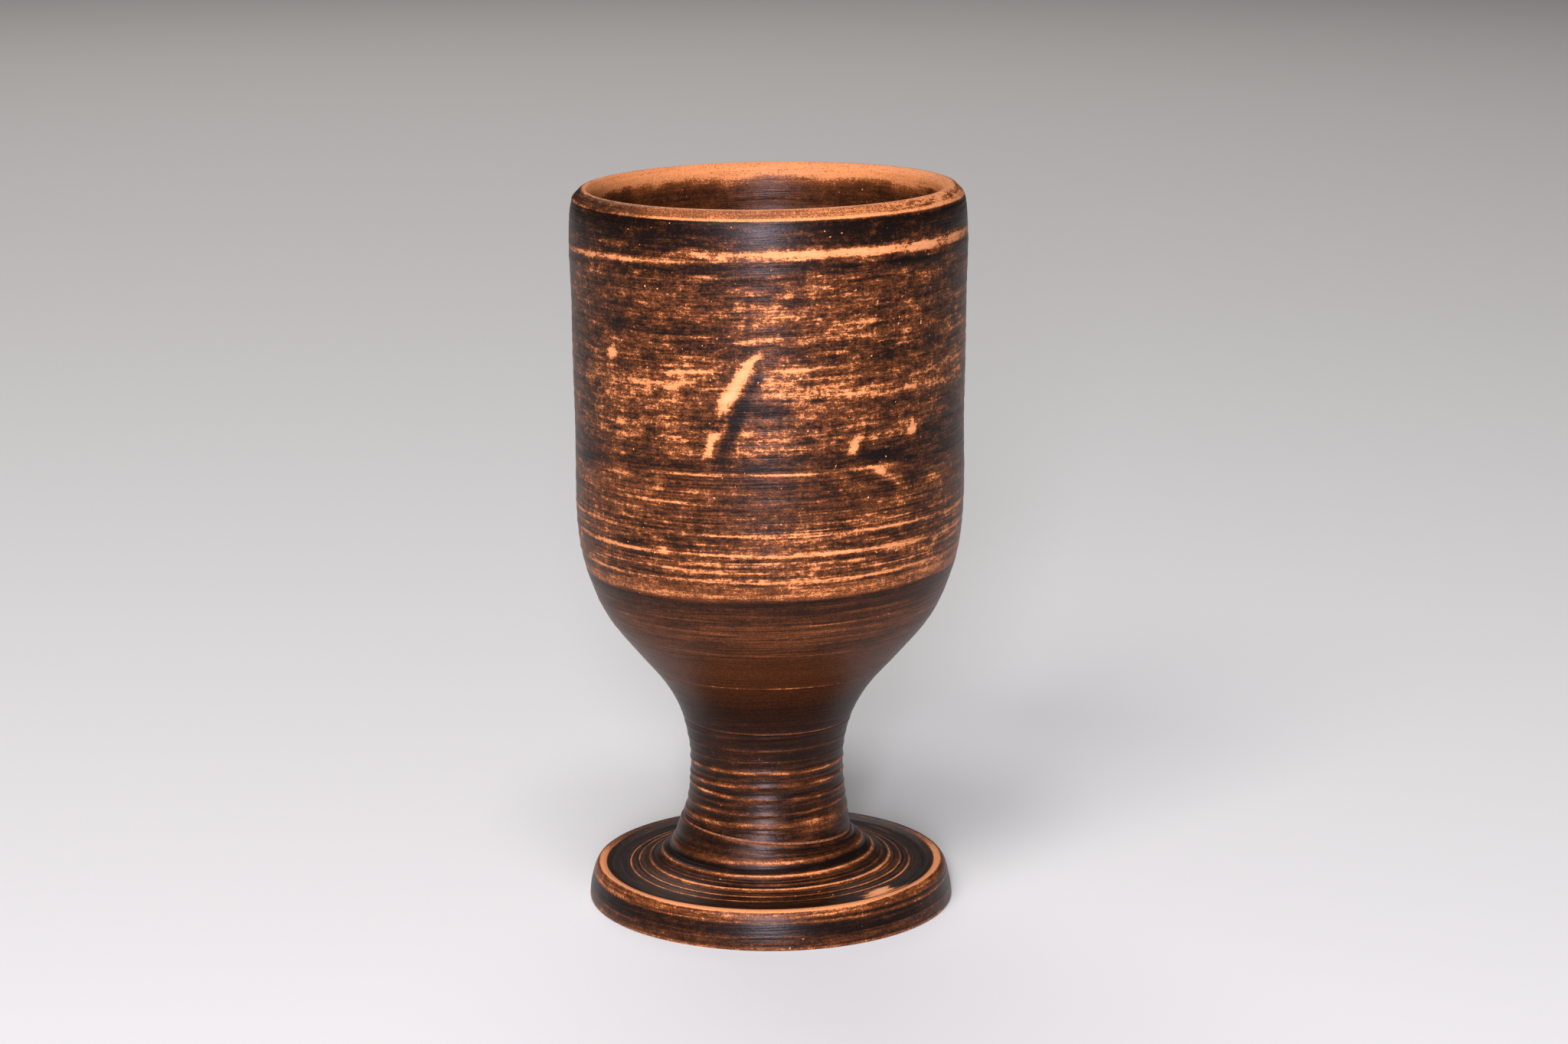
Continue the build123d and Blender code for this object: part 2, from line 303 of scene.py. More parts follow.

# ---------------------------------------------------------------- colours
# Coat worn from black through brown to bare clay: (how worn, colour). The levels it is read at also
# hold painted shade and painted light in a few places.
WORN_COLOURS = [
    (0.12, (0.008, 0.004, 0.003)), (0.26, (0.026, 0.009, 0.004)), (0.36, (0.066, 0.021, 0.007)),
    (0.45, (0.120, 0.038, 0.012)), (0.52, (0.200, 0.065, 0.021)), (0.56, (0.350, 0.122, 0.041)),
    (0.60, (0.530, 0.202, 0.074)), (0.68, (0.600, 0.244, 0.100)), (1.00, (0.680, 0.315, 0.150)),
]
# Noises that lie along the turning lines: (scale round, scale up, detail, roughness).
COAT_NOISES = {
    "grain": (1.9, 2.7, 2.0, 0.70),
    "flecks": (0.62, 1.7, 4.0, 0.68),
    "streaks": (0.08, 1.5, 4.0, 0.65),
    "hair": (0.035, 2.6, 3.0, 0.65),
    "clumps": (0.20, 0.60, 3.0, 0.60),
    "patches": (0.07, 0.16, 2.0, 0.50),
    "smears": (1.1, 0.30, 3.0, 0.60),
    "specks": (1.7, 1.7, 0.0, 0.5),
}
MOTTLING_SHARES = {
    "flecks": 0.65, "streaks": 0.60, "clumps": 0.75, "patches": 0.35, "grain": 0.55, "smears": 0.30,
}
BUMP_SHARES = {"grain": 0.5, "hair": 1.0, "streaks": 0.6}
SPECK_SHARE = 0.60
SPECK_NOISE = (0.30, 0.36)  # only the peaks of the noise make specks
HAIR_SHARE = 0.60
DUST_SCALE = (3.6, 3.6, 4.2)
DUST_SHARE = 0.27
LINE_TILT = -0.03  # the turning lines climb to the right
BARE_FROM = (0.50, 0.62)  # wear at which clay shows through
BARE_DEPTH = -0.3
BARE_ROUGHNESS = 0.20
ROUGHNESS_SHARES = {"grain": 0.15, "streaks": 0.15}
COAT_ROUGHNESS = 0.345
COAT_BUMP = 0.00008
COAT_SPECULAR = 0.22
COAT_SHEEN = (1.0, 0.84, 0.84, 1.0)
# Slip in the seams: (noise, colour).
SLIP_COLOURS = [(0.3, (0.095, 0.032, 0.016)), (0.7, (0.36, 0.12, 0.042))]
SLIP_GRAIN = 1.5
SLIP_ROUGHNESS = 0.75
SLIP_BUMP = 0.0001

# ---------------------------------------------------------------- camera, lights and floor
CAMERA_PLACE = (3.2, -717.2, 243.2)
CAMERA_PITCH = 12.82  # degrees below the level
SENSOR_WIDTH = 36
LENS = 81.63
CLIP_START = 10.0
GAMMA = 0.88
EXPOSURE = 0.02
WORLD_COLOUR = (0.92, 0.90, 0.88, 1)
WORLD_STRENGTH = 0.08
FLOOR_COLOUR = (0.66, 0.635, 0.60, 1)
FLOOR_ROUGHNESS = 0.9
FLOOR_HALF_WIDTH = 6.0  # metres, as are the lengths in the table of lights
# (name, place, target, size, watts, colour)
LIGHTS = [
    ("key", (-0.78, -1.56, 1.66), (0, 0, 0.08), (0.9, 0.9), 23, (0.98, 0.98, 1.0)),
    ("front_strip", (-0.05, -1.50, 0.50), (0, 0, 0.08), (0.27, 0.52), 37, (0.85, 0.87, 1.0)),
    ("front_top", (-0.05, -0.58, 1.60), (0, 0, 0.05), (0.55, 0.40), 12, (0.88, 0.90, 1.0)),
    ("backdrop", (-0.30, 1.70, 1.90), (0, 0.60, 0), (1.6, 1.6), 20, (0.98, 0.98, 1.0)),
]


# ---------------------------------------------------------------- curves
def spline_values(knots, values, at):
    """Natural cubic spline through (knots, values), read at the places in at."""
    knots, values = np.asarray(knots, float), np.asarray(values, float)
    gaps = np.diff(knots)
    slopes = np.diff(values) / gaps
    system = np.eye(len(knots))
    target = np.zeros(len(knots))
    for i in range(1, len(knots) - 1):
        system[i, i - 1: i + 2] = gaps[i - 1], 2 * (gaps[i - 1] + gaps[i]), gaps[i]
        target[i] = 6 * (slopes[i] - slopes[i - 1])
    bend = np.linalg.solve(system, target)
    i = np.clip(np.searchsorted(knots, at) - 1, 0, len(gaps) - 1)
    left, right = knots[i + 1] - at, at - knots[i]
    cubic = (bend[i] * left**3 + bend[i + 1] * right**3) / (6 * gaps[i])
    lines = (values[i] / gaps[i] - bend[i] * gaps[i] / 6) * left
    lines += (values[i + 1] / gaps[i] - bend[i + 1] * gaps[i] / 6) * right
    return cubic + lines


def spline_line(points, spacing):
    """Points about spacing apart along a smooth curve through (radius, height) points."""
    points = np.asarray(points, float)
    along = np.r_[0, np.cumsum(np.hypot(*np.diff(points, axis=0).T))]
    at = np.linspace(0, along[-1], max(2, int(round(along[-1] / spacing)) + 1))
    return np.c_[spline_values(along, points[:, 0], at), spline_values(along, points[:, 1], at)]


SKIN_LINE = spline_line(OUTLINE, 0.1)


def skin_radius(height):
    return np.interp(height, SKIN_LINE[:, 1], SKIN_LINE[:, 0])


def skin_line(low, high, spacing):
    """The turned outline between two heights."""
    heights = np.linspace(low, high, int(round((high - low) / spacing)) + 1)
    return np.c_[skin_radius(heights), heights]


def rounded_line(corners, steps=5):
    """A line through (radius, height, rounding) corners, each rounded by an arc-like curve."""
    line = []
    for i, (radius, height, rounding) in enumerate(corners):
        corner = np.array((radius, height))
        if rounding == 0 or i in (0, len(corners) - 1):
            line.append(corner)
            continue
        before = np.array(corners[i - 1][:2]) - corner
        after = np.array(corners[i + 1][:2]) - corner
        start = corner + before / np.linalg.norm(before) * rounding
        end = corner + after / np.linalg.norm(after) * rounding
        for t in np.linspace(0, 1, steps + 1):
            line.append((1 - t) ** 2 * start + 2 * t * (1 - t) * corner + t**2 * end)
    return np.array(line)


def divided(line, spacing):
    """The same line with long straight stretches divided."""
    line = np.asarray(line, float)
    made = [line[:1]]
    for start, end in zip(line[:-1], line[1:]):
        count = max(1, int(round(np.linalg.norm(end - start) / spacing)))
        t = np.linspace(0, 1, count + 1)[1:, None]
        made.append(start + (end - start) * t)
    return np.vstack(made)


# ---------------------------------------------------------------- the studio
def aim(thing, target):
    direction = np.array(target) - np.array(thing.location)
    across = math.atan2(direction[0], direction[1])
    down = math.atan2(-direction[2], math.hypot(direction[0], direction[1]))
    thing.rotation_euler = (math.pi / 2 - down, 0, -across)


def make_camera():
    data = bpy.data.cameras.new("camera")
    camera = bpy.data.objects.new("camera", data)
    bpy.context.scene.collection.objects.link(camera)
    data.sensor_width = SENSOR_WIDTH
    data.lens = LENS
    data.clip_start = CLIP_START * MM
    camera.location = [length * MM for length in CAMERA_PLACE]
    camera.rotation_euler = (math.radians(90 - CAMERA_PITCH), 0, 0)
    bpy.context.scene.camera = camera


def make_light(name, place, target, size, watts, colour):
    data = bpy.data.lights.new(name, "AREA")
    data.shape = "RECTANGLE"
    data.size, data.size_y = size
    data.energy = watts
    data.color = colour
    light = bpy.data.objects.new(name, data)
    bpy.context.scene.collection.objects.link(light)
    light.location = place
    aim(light, target)


def set_colours():
    """Plain colour rendering, so that the clay keeps its warm, saturated colours."""
    view = bpy.context.scene.view_settings
    view.view_transform = "Standard"
    view.gamma = GAMMA
    view.exposure = EXPOSURE


def make_world():
    world = bpy.data.worlds.new("studio")
    bpy.context.scene.world = world
    world.use_nodes = True
    background = world.node_tree.nodes["Background"]
    background.inputs["Color"].default_value = WORLD_COLOUR
    background.inputs["Strength"].default_value = WORLD_STRENGTH


def make_floor():
    size = FLOOR_HALF_WIDTH
    corners = [(-size, -size, 0), (size, -size, 0), (size, size, 0), (-size, size, 0)]
    mesh = bpy.data.meshes.new("floor")
    mesh.from_pydata(corners, [], [(0, 1, 2, 3)])
    floor = bpy.data.objects.new("floor", mesh)
    bpy.context.scene.collection.objects.link(floor)
    material = bpy.data.materials.new("pale_floor")
    material.use_nodes = True
    shader = material.node_tree.nodes["Principled BSDF"]
    shader.inputs["Base Color"].default_value = FLOOR_COLOUR
    shader.inputs["Roughness"].default_value = FLOOR_ROUGHNESS
    shader.inputs["Specular IOR Level"].default_value = 0.0
    mesh.materials.append(material)


# ---------------------------------------------------------------- relief and wear of each surface
def smoothstep(low, high, value):
    t = np.clip((value - low) / (high - low), 0, 1)
    return t * t * (3 - 2 * t)


def waves(angle, height, seed, count, turns, stretch):
    """Smooth seeded unevenness round and along the pot, about -1 to 1."""
    rng = np.random.default_rng(seed)
    total = np.zeros(np.broadcast(angle, height).shape)
    for _ in range(count):
        around = rng.integers(1, turns + 1)
        along = rng.normal(0, stretch)
        phase = rng.uniform(0, 2 * math.pi)
        total += np.cos(around * angle + along * height + phase)
    return total / math.sqrt(count)


def back_rubs():
    """More rubs of the same kinds round the far side of the bowl."""
    rng = np.random.default_rng(BACK_SEED)
    rubs = []
    for _ in range(BACK_COUNT):
        angle, height = rng.uniform(*BACK_ANGLES), rng.uniform(*BACK_HEIGHTS)
        if rng.random() < STEEP_SHARE:
            length, width, tilt = rng.uniform(1, 2.6), rng.uniform(0.6, 1.2), rng.uniform(30, 90)
            strength = STEEP_STRENGTH
        else:
            strength = rng.choice(FLAT_STRENGTHS)
            length, width, tilt = rng.uniform(2, 12), rng.uniform(0.35, 1.0), rng.uniform(-2, 5)
        rubs.append((angle, height, length, width, tilt, strength))
    return rubs + BACK_BANDS


def ridge_sum(angle, place, ridges, column):
    """Adds up the ridges at a place along the skin; column 2 gives relief and 3 gives bareness."""
    total = np.zeros(np.broadcast(angle, place).shape)
    for ridge in ridges:
        centre = ridge[0] + ridge[4] * np.sin(angle + math.radians(ridge[5]))
        total += ridge[column] * np.exp(-(((place - centre) / ridge[1]) ** 2))
    return total


def rub_sum(angle, radius, place, rubs):
    """Adds up the rubs: each is a soft-edged dab, turned by its tilt."""
    total = np.zeros(np.broadcast(angle, place).shape)
    for where, level, length, width, tilt, strength in rubs:
        turn = np.mod(angle - math.radians(where) + math.pi, 2 * math.pi) - math.pi
        across, up = turn * radius, place - level
        cos, sin = math.cos(math.radians(tilt)), math.sin(math.radians(tilt))
        along = (across * cos + up * sin) / length
        beside = (up * cos - across * sin) / width
        total += strength * np.exp(-(along**4) - beside**2 - beside**4 / 3)
    return total


def finger_spiral(angle, height):
    return np.sin(2 * math.pi * height / FINGER_RISE + angle)


def skin_relief(angle, radius, height):
    """How far stem and bowl stand off the turned outline."""
    rings = ridge_sum(angle, height, STEM_RIDGES + BOWL_RIDGES, 2)
    climbing = height - FINE_CLIMB * radius * np.sin(angle)
    fine = FINE_RELIEF * waves(0.0, climbing, seed=11, count=14, turns=1, stretch=3.2)
    slow = SLOW_RELIEF * waves(angle, height, seed=5, count=10, turns=3, stretch=0.12)
    fine, slow = fine * smoothstep(*FINE_HEIGHTS, height), slow * smoothstep(*SLOW_HEIGHTS, height)
    return rings + fine + slow


def inside_relief(angle, radius, height):
    """Soft spiral rings left by the fingers inside the cup."""
    slow = waves(angle, height, seed=41, count=10, turns=3, stretch=0.9)
    rings = FINGER_RELIEF * finger_spiral(angle, height) + 0.06 * slow
    return rings * smoothstep(*FINGER_HEIGHTS, height) * smoothstep(*FINGER_RADII, radius)


def foot_relief(angle, radius, height):
    """Rings on the foot's top and side."""
    fine = FOOT_RELIEF * waves(0.0, radius - height, seed=12, count=12, turns=1, stretch=3.5)
    return ridge_sum(angle, radius, FOOT_RIDGES, 2) + fine


def skin_marks(angle, radius, height):
    """Wear level, mottling and turning lines on stem and bowl; the level also holds painted shade
    on the stem and a painted glow under the bowl.
    """
    right = np.sin(angle)
    seen = height + RIM_TILT * radius * right * smoothstep(TILT_FROM, HEIGHT, height)
    low, high = BANDS_TILT_HEIGHTS
    tilted = seen - right * smoothstep(*low, height) * smoothstep(*high, height)
    heights, level, mottle, lines = np.array(WALL_ZONES).T
    ridges = ridge_sum(angle, height, STEM_RIDGES + BOWL_RIDGES, 3)
    uneven = 1 + 0.25 * waves(angle, height, seed=21, count=8, turns=4, stretch=0.25)
    uneven = uneven + 0.28 * waves(angle, height, seed=24, count=12, turns=22, stretch=0.6)
    rubs = rub_sum(angle, radius, seen, RUBS + back_rubs()) * smoothstep(*RUBS_HEIGHTS, height)
    # level carries wear, and also the zone levels' painted shade on the stem and painted glow under
    # the bowl.
    level = np.interp(tilted, heights, level) + ridges * uneven + rubs
    return level, np.interp(tilted, heights, mottle), np.interp(tilted, heights, lines)


def foot_top_level(angle, radius, ring):
    """How worn the foot's top is, up to and over its edge ring."""
    uneven = 1 + 0.22 * waves(angle, radius, seed=22, count=8, turns=4, stretch=0.3)
    top = COLLAR_LEVEL + ridge_sum(angle, radius, FOOT_RIDGES, 3) * uneven
    top = top + rub_sum(angle, radius, radius, FOOT_RUBS)
    inner, outer = RINGED_RADII
    top = top + 0.05 * smoothstep(*inner, radius) * smoothstep(*outer, radius)
    top = top + 0.05 * waves(0.0, radius, seed=27, count=12, turns=1, stretch=9.0)
    return top + (RING_LEVEL - top) * ring


def foot_side_level(angle, height, front):
    """How worn the foot's side is: a brown band at the front, and thin lines."""
    side = SIDE_LEVEL + 0.29 * smoothstep(*SIDE_TOP, height) * front
    side = side + 0.15 * smoothstep(*SIDE_BOTTOM, height)
    for line, width, strength in SIDE_LINES:
        side = side + strength * np.exp(-(((height - line + 0.3 * np.sin(angle)) / width) ** 2))
    return side


def foot_marks(angle, radius, height):
    """Wear level, mottling and turning lines on the foot's collar, top, edge ring and side."""
    front = smoothstep(-0.75, 0.1, np.cos(angle))
    ring = smoothstep(*RING_INSIDE, radius) * (0.30 + 0.70 * front)
    past_edge = radius - 0.5 * smoothstep(0.5, 0.95, np.cos(angle))
    on_side = smoothstep(*RING_OUTSIDE, past_edge)
    top, side = foot_top_level(angle, radius, ring), foot_side_level(angle, height, front)
    mottle = 0.45 + 0.10 * on_side - 0.22 * ring * (1 - on_side)
    return top * (1 - on_side) + side * on_side, mottle, 0.4 + 0.2 * on_side


def inside_marks(angle, radius, height):
    """Inside the cup: bare just below the lip, then dark with a soft, ragged edge."""
    edge = BARE_EDGE + 0.60 * waves(angle, 0.0, seed=31, count=9, turns=14, stretch=0.0)
    edge = edge + 0.30 * waves(angle, 0.0, seed=32, count=9, turns=40, stretch=0.0)
    edge = edge + 0.9 * smoothstep(0.2, 0.9, np.sin(angle))
    bare = smoothstep(edge - 2.6, edge + 1.4, height)
    rings = 0.05 * finger_spiral(angle, height) * smoothstep(144, 134, height)
    return INSIDE_LEVEL + BARE_LEVEL * bare + rings, 0.40 - 0.22 * bare, 0.30 - 0.15 * bare


def lip_marks(angle, radius, height):
    """The lip: worn clay, speckled to the sides, with a bright line along its lower edge that is
    partly a worn edge and partly a painted highlight.
    """
    right = smoothstep(-0.1, 0.9, np.sin(angle))
    side = smoothstep(0.45, 0.95, np.abs(np.sin(angle)))
    face = smoothstep(*LIP_FACE_RADII, radius)
    # brink lightens the lip's lower corner: partly edge wear, partly a painted highlight.
    brink = smoothstep(*LIP_BRINK_RADII, radius) * smoothstep(LIP_BASE, LIP_BASE + 0.2, height)
    darker = face * (0.090 - 0.05 * right + 0.20 * side * (1 - right))
    return LIP_LEVEL - darker + 0.12 * brink, 0.12 + face * (0.02 + 0.85 * side), 0.2


def hidden_marks(angle, radius, height):
    """Faces inside the joints and under the foot."""
    return HIDDEN_MARKS


SKIN, FOOT, INSIDE, LIP, HIDDEN = range(5)
RELIEF = {SKIN: skin_relief, FOOT: foot_relief, INSIDE: inside_relief}
MARKS = {
    SKIN: skin_marks, FOOT: foot_marks, INSIDE: inside_marks, LIP: lip_marks, HIDDEN: hidden_marks,
}
# The first mark is wear together with painted shade on the stem, a painted glow under the bowl and
# a painted highlight on the lip.
MARK_NAMES = ("wear_and_painted_light", "mottle", "lines")


def surface_marks(angle, radius, height, kind):
    """Relief and the three marks of every point, by the kind of surface that its row belongs to."""
    made = np.zeros((1 + len(MARK_NAMES), len(angle), len(kind)))
    for sort in np.unique(kind):
        rows = kind == sort
        place = angle, radius[:, rows], height[:, rows]
        if sort in RELIEF:
            made[0][:, rows] = RELIEF[sort](*place)
        for value, mark in zip(made[1:], MARKS[sort](*place)):
            value[:, rows] = mark
    return made


# ---------------------------------------------------------------- revolving a section
def offset_normals(line, closed):
    """Unit normals of a section line, pointing to its right hand side."""
    if closed:
        ahead, behind = np.roll(line, -1, axis=0), np.roll(line, 1, axis=0)
    else:
        ahead, behind = np.vstack((line[1:], line[-1:])), np.vstack((line[:1], line[:-1]))
    along = ahead - behind
    along /= np.maximum(np.linalg.norm(along, axis=1), 1e-9)[:, None]
    return np.c_[along[:, 1], -along[:, 0]]


def place_points(angle, radius, height, shift=0.0):
    """Where hand throwing puts a point: leaning, oval, sagging at the foot, tilted at the rim."""
    oval = OVALITY * np.cos(2 * angle + OVAL_TURN) * smoothstep(0, OVAL_FULL, height)
    radius = radius * (1 + oval)
    x = radius * np.sin(angle) + np.interp(height, *zip(*LEAN_ACROSS)) + shift
    y = -radius * np.cos(angle) + np.interp(height, *zip(*LEAN_DEPTH))
    sag = SAG_FRONT * np.cos(angle) + SAG_RIGHT * np.sin(angle) - SAG_FRONT
    seam_rise = SEAM_RISE - SEAM_TILT * np.sin(angle)
    near_seam = np.exp(-(((height - FOOT_JOINT) / SEAM_REACH) ** 2))
    near_seam = near_seam * smoothstep(*SEAM_RADII, radius)
    z = height + RIM_TILT * x * smoothstep(TILT_FROM, HEIGHT, height)
    z = z + sag * smoothstep(*SAG_HEIGHTS[0], height) * smoothstep(*SAG_HEIGHTS[1], height)
    z = z + seam_rise * near_seam
    return np.stack((x, y, z), axis=-1)


def section_faces(count, closed):
    """Quads between count rings of points, closed back to the first ring if asked."""
    index = np.arange(COLUMNS * count).reshape(COLUMNS, count)
    beside = np.roll(index, -1, axis=0)
    if closed:
        above = np.roll(index, -1, axis=1), np.roll(beside, -1, axis=1)
        quads = np.stack((index, beside, above[1], above[0]), axis=-1)
        return [tuple(face) for face in quads.reshape(-1, 4).tolist()]
    quads = np.stack((index[:, :-1], beside[:, :-1], beside[:, 1:], index[:, 1:]), axis=-1)
    first, last = COLUMNS * count, COLUMNS * count + 1
    faces = [tuple(face) for face in quads.reshape(-1, 4).tolist()]
    faces += [(first, b, a) for a, b in zip(index[:, 0].tolist(), beside[:, 0].tolist())]
    faces += [(last, a, b) for a, b in zip(index[:, -1].tolist(), beside[:, -1].tolist())]
    return faces


def revolve(name, line, kind, closed):
    """Turns a section into a closed mesh. kind says what sort of surface each of its rows is."""
    line = np.asarray(line, float)
    normals = offset_normals(line, closed)
    angle = np.linspace(0, 2 * math.pi, COLUMNS, endpoint=False)[:, None]
    radius, height = line[:, 0][None], line[:, 1][None]
    relief, *marks = surface_marks(angle, radius, height, kind)
    shift = CUP_SHIFT * np.isin(kind, (INSIDE, LIP)) * smoothstep(*CUP_SHIFT_RADII, line[:, 0])
    raised = radius + normals[:, 0] * relief, height + normals[:, 1] * relief
    points = place_points(angle, *raised, shift)
    rings = slice(None) if closed else slice(1, -1)
    vertices = points[:, rings].reshape(-1, 3)
    marks = [mark[:, rings].reshape(-1) for mark in marks]
    if not closed:
        ends = [place_points(0.0, 0.0, line[i, 1], shift[i]) for i in (0, -1)]
        vertices = np.vstack((vertices, ends))
        marks = [np.r_[mark, mark[0], mark[-1]] for mark in marks]
    mesh = bpy.data.meshes.new(name)
    faces = section_faces(points[:, rings].shape[1], closed)
    mesh.from_pydata((vertices * MM).tolist(), [], faces)
    for attribute_name, mark in zip(MARK_NAMES, marks):
        attribute = mesh.attributes.new(attribute_name, "FLOAT", "POINT")
        attribute.data.foreach_set("value", mark.astype(np.float32))
    mesh.shade_smooth()
    mesh.set_sharp_from_angle(angle=math.radians(SHARP_ANGLE))
    piece = bpy.data.objects.new(name, mesh)
    bpy.context.scene.collection.objects.link(piece)
    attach(piece, "root")
    return piece


def joined(*parts):
    """Joins (line, kind) stretches into one section, dropping repeated points."""
    line = np.vstack([part for part, _ in parts])
    kind = np.concatenate([np.full(len(part), value) for part, value in parts])
    keep = np.r_[True, np.hypot(*np.diff(line, axis=0).T) > 1e-4]
    return line[keep], kind[keep]


# ---------------------------------------------------------------- pieces
def make_bowl():
    """Thrown cup: from the middle of its floor over the lip and down to the tenon."""
    sweep = np.radians(np.linspace(270, 360, 30))
    floor = np.c_[
        CUP_RADIUS * np.cos(sweep), CUP_FLOOR_START + CUP_FLOOR_DEPTH * np.sin(sweep)]
    wall = divided([(CUP_RADIUS, CUP_FLOOR_START), CUP_NARROW], 1.3)
    inside = np.vstack((wall, divided([CUP_NARROW, CUP_EDGE], 0.6)))
    crest = spline_line(LIP_CREST, 0.3)
    face = divided(rounded_line([
        (*LIP_CREST[-1], 0), (*LIP_CORNER, 0.45), (skin_radius(WALL_TOP), WALL_TOP, 0)]), 0.3)
    outside = skin_line(COIL_TOP, WALL_TOP, 0.5)[::-1]
    shoulder, tip = BOWL_JOINT + SLIP, BOWL_JOINT + SLIP - TENON
    under = rounded_line([
        (skin_radius(COIL_TOP), COIL_TOP, 0), (*COIL_SHOULDER, 0), (COIL_BED, shoulder, 0.3),
        (BOWL_TENON_RADIUS, shoulder, 0.3), (BOWL_TENON_RADIUS, tip, 0.8), (0, tip, 0)], 3)
    on_lip = face[:, 1] > LIP_BASE
    line, kind = joined(
        (floor, INSIDE), (inside, INSIDE), (crest, LIP), (face[on_lip], LIP),
        (face[~on_lip], SKIN), (outside, SKIN), (divided(under, 3.0), HIDDEN))
    piece = revolve("bowl_thrown", line[::-1], kind[::-1], closed=False)
    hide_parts("bowl")
    return piece


def make_coil():
    """Coil blended round the joint: bedded on stem and bowl, its outside flush with the skin."""
    bed = rounded_line([
        (skin_radius(COIL_BOTTOM), COIL_BOTTOM, 0), (COIL_BED, COIL_BOTTOM, 0.2),
        (COIL_BED, BOWL_JOINT + SLIP, 0.5), (*COIL_SHOULDER, 0.2),
        (skin_radius(COIL_TOP), COIL_TOP, 0)])
    outside = skin_line(COIL_BOTTOM, COIL_TOP, 0.4)[::-1]
    line, kind = joined((divided(bed, 1.5), HIDDEN), (outside, SKIN))
    piece = revolve("joint_coil_blended", line[:-1][::-1], kind[:-1][::-1], closed=True)
    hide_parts("joint_coil")
    return piece


def make_stem():
    """Hollow waisted stem with its socket above and its tenon below."""
    bottom, top, socket = FOOT_JOINT + SLIP, COIL_BOTTOM, BOWL_TENON_RADIUS + SLIP
    outside = skin_line(bottom, top, 0.2)
    inside = rounded_line([
        (skin_radius(top), top, 0), (COIL_BED, top, 0.2), (COIL_BED, BOWL_JOINT, 0.3),
        (socket, BOWL_JOINT, 0.3), (socket, BOWL_JOINT - TENON, 0.2),
        (BORE, BOWL_JOINT - TENON, 0.3), (BORE, bottom - TENON, 0.5),
        (FOOT_TENON_RADIUS, bottom - TENON, 0.5), (FOOT_TENON_RADIUS, bottom, 0.2),
        (skin_radius(bottom), bottom, 0)])
    line, kind = joined((outside, SKIN), (divided(inside, 1.5), HIDDEN))
    piece = revolve("stem_thrown", line[:-1], kind[:-1], closed=True)
    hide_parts("stem")
    return piece


def make_foot():
    """Thrown disc with a collar, a raised edge ring, a hollow underside and a standing ring."""
    socket, bed = FOOT_TENON_RADIUS + SLIP, FOOT_JOINT - TENON
    collar = spline_line([point for point in OUTLINE if point[1] < COLLAR_TOP][::-1], 0.22)
    seam = (skin_radius(FOOT_JOINT), FOOT_JOINT)
    collar = np.vstack((seam, collar[collar[:, 1] < FOOT_JOINT - 0.1]))
    inner = rounded_line([
        (*THROAT[-1], 0), (BORE, bed, 0.3), (socket, bed, 0.3), (socket, FOOT_JOINT, 0.2),
        (*seam, 0)])
    line, kind = joined(
        (collar, FOOT), (spline_line(EDGE_RING, 0.25), FOOT),
        (divided(rounded_line(STANDING_RING), 1.0), HIDDEN), (spline_line(THROAT, 1.0), HIDDEN),
        (divided(inner, 1.0), HIDDEN))
    piece = revolve("foot_thrown", line[:-1][::-1], kind[:-1][::-1], closed=True)
    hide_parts("foot")
    return piece


def make_seam():
    """The slip squeezed out between stem and foot, seen as a fine line."""
    low, high, tip = FOOT_JOINT, FOOT_JOINT + SLIP, FOOT_JOINT + SLIP - TENON
    socket = FOOT_TENON_RADIUS + SLIP
    outside = skin_line(low, high, 0.125) - (SEAM_DEPTH, 0)
    inside = rounded_line([
        (outside[-1][0], high, 0), (FOOT_TENON_RADIUS, high, 0.1), (FOOT_TENON_RADIUS, tip, 0),
        (socket, tip, 0), (socket, low, 0.1), (outside[0][0], low, 0)])
    line, kind = joined((outside, SKIN), (divided(inside, 1.0), HIDDEN))
    piece = revolve("lower_slip_seam", line[:-1], kind[:-1], closed=True)
    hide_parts("lower_slip")
    return piece


